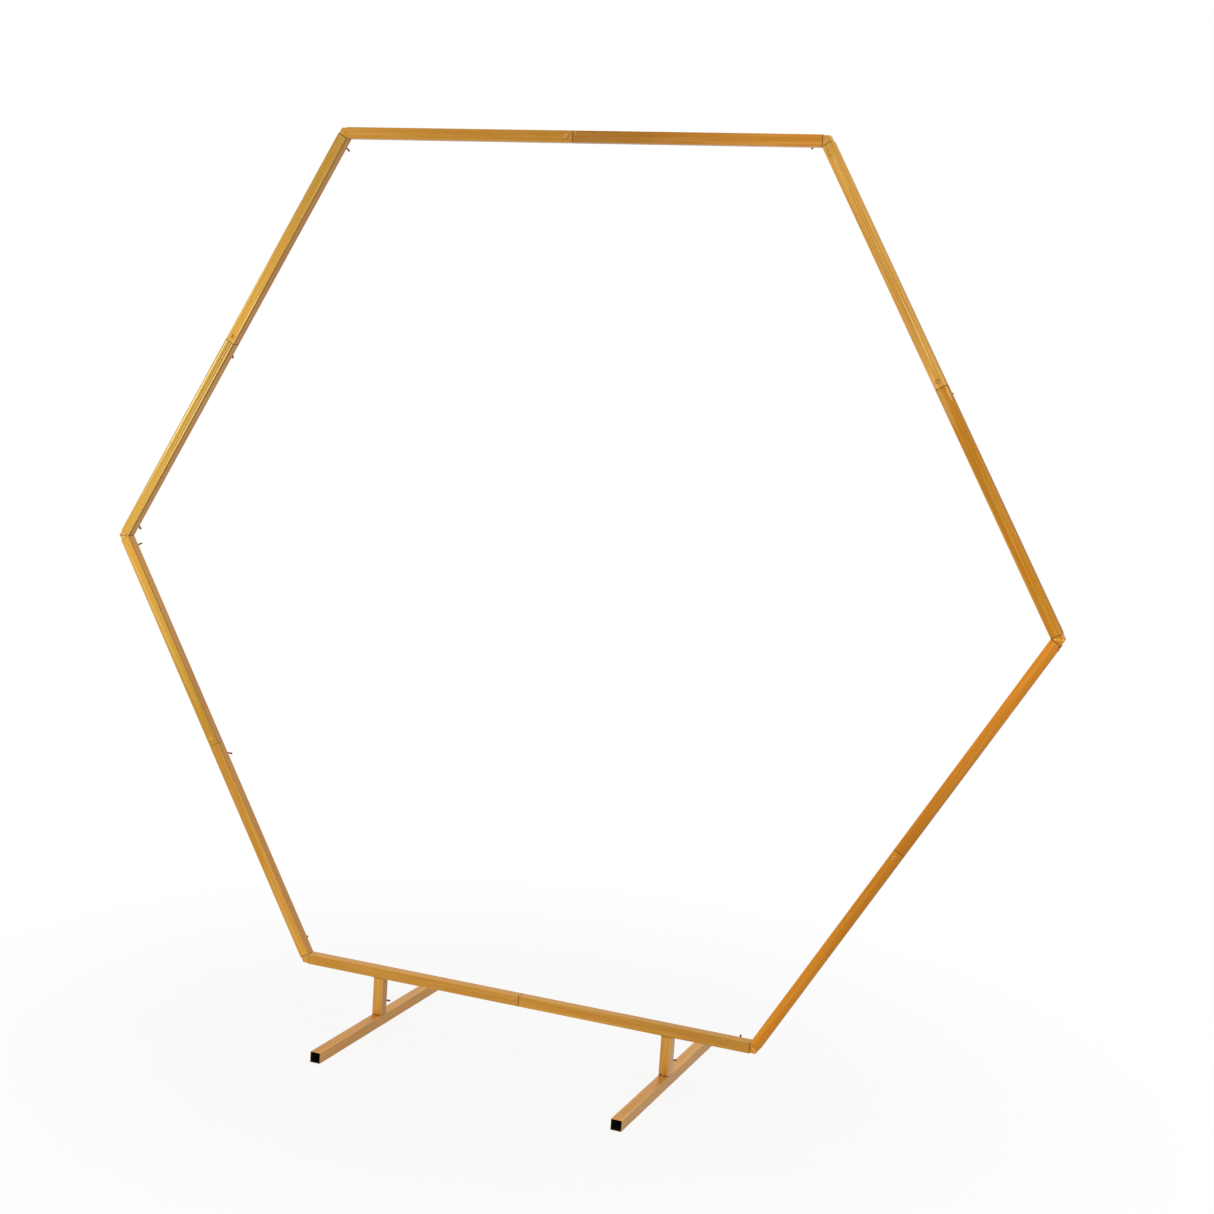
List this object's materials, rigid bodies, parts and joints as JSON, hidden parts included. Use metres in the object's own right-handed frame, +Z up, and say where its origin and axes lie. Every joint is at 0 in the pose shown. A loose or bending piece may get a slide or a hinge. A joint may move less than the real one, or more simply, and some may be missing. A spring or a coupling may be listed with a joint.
{
  "type": "wedding arch",
  "caption": "Free-standing hexagonal arch frame of gold-painted square steel tube, flat at top and bottom, on low inverted-T feet, with wing-screw clamps on the back.",
  "frame": {"origin": "on the ground midway between the two feet, in the middle plane of the hexagon", "axes": "+X to the right seen from the front, +Y towards the back where the wing screws are, +Z up"},
  "size_m": [2.2578, 0.61, 2.0757],
  "materials": {
    "gold_paint": "satin metallic gold",
    "screw_gold": "satin metallic gold, darker"
  },
  "bodies": {
    "root": {"top_tube_left": "gold_paint", "top_tube_right": "gold_paint", "top_sleeve": "gold_paint", "top_right_elbow": "gold_paint", "top_wing_screws": "screw_gold", "upper_right_tube_high": "gold_paint", "upper_right_tube_low": "gold_paint", "upper_right_sleeve": "gold_paint", "right_elbow": "gold_paint", "upper_right_wing_screws": "screw_gold", "lower_right_tube_high": "gold_paint", "lower_right_tube_low": "gold_paint", "lower_right_sleeve": "gold_paint", "bottom_right_elbow": "gold_paint", "lower_right_wing_screws": "screw_gold", "bottom_tube_right": "gold_paint", "bottom_tube_left": "gold_paint", "bottom_sleeve": "gold_paint", "bottom_left_elbow": "gold_paint", "bottom_wing_screws": "screw_gold", "lower_left_tube_low": "gold_paint", "lower_left_tube_high": "gold_paint", "lower_left_sleeve": "gold_paint", "left_elbow": "gold_paint", "lower_left_wing_screws": "screw_gold", "upper_left_tube_low": "gold_paint", "upper_left_tube_high": "gold_paint", "upper_left_sleeve": "gold_paint", "top_left_elbow": "gold_paint", "upper_left_wing_screws": "screw_gold", "left_leg": "gold_paint", "left_spigot": "gold_paint", "left_foot": "gold_paint", "right_leg": "gold_paint", "right_spigot": "gold_paint", "right_foot": "gold_paint", "leg_wing_screws": "screw_gold"}
  },
  "joints": []
}
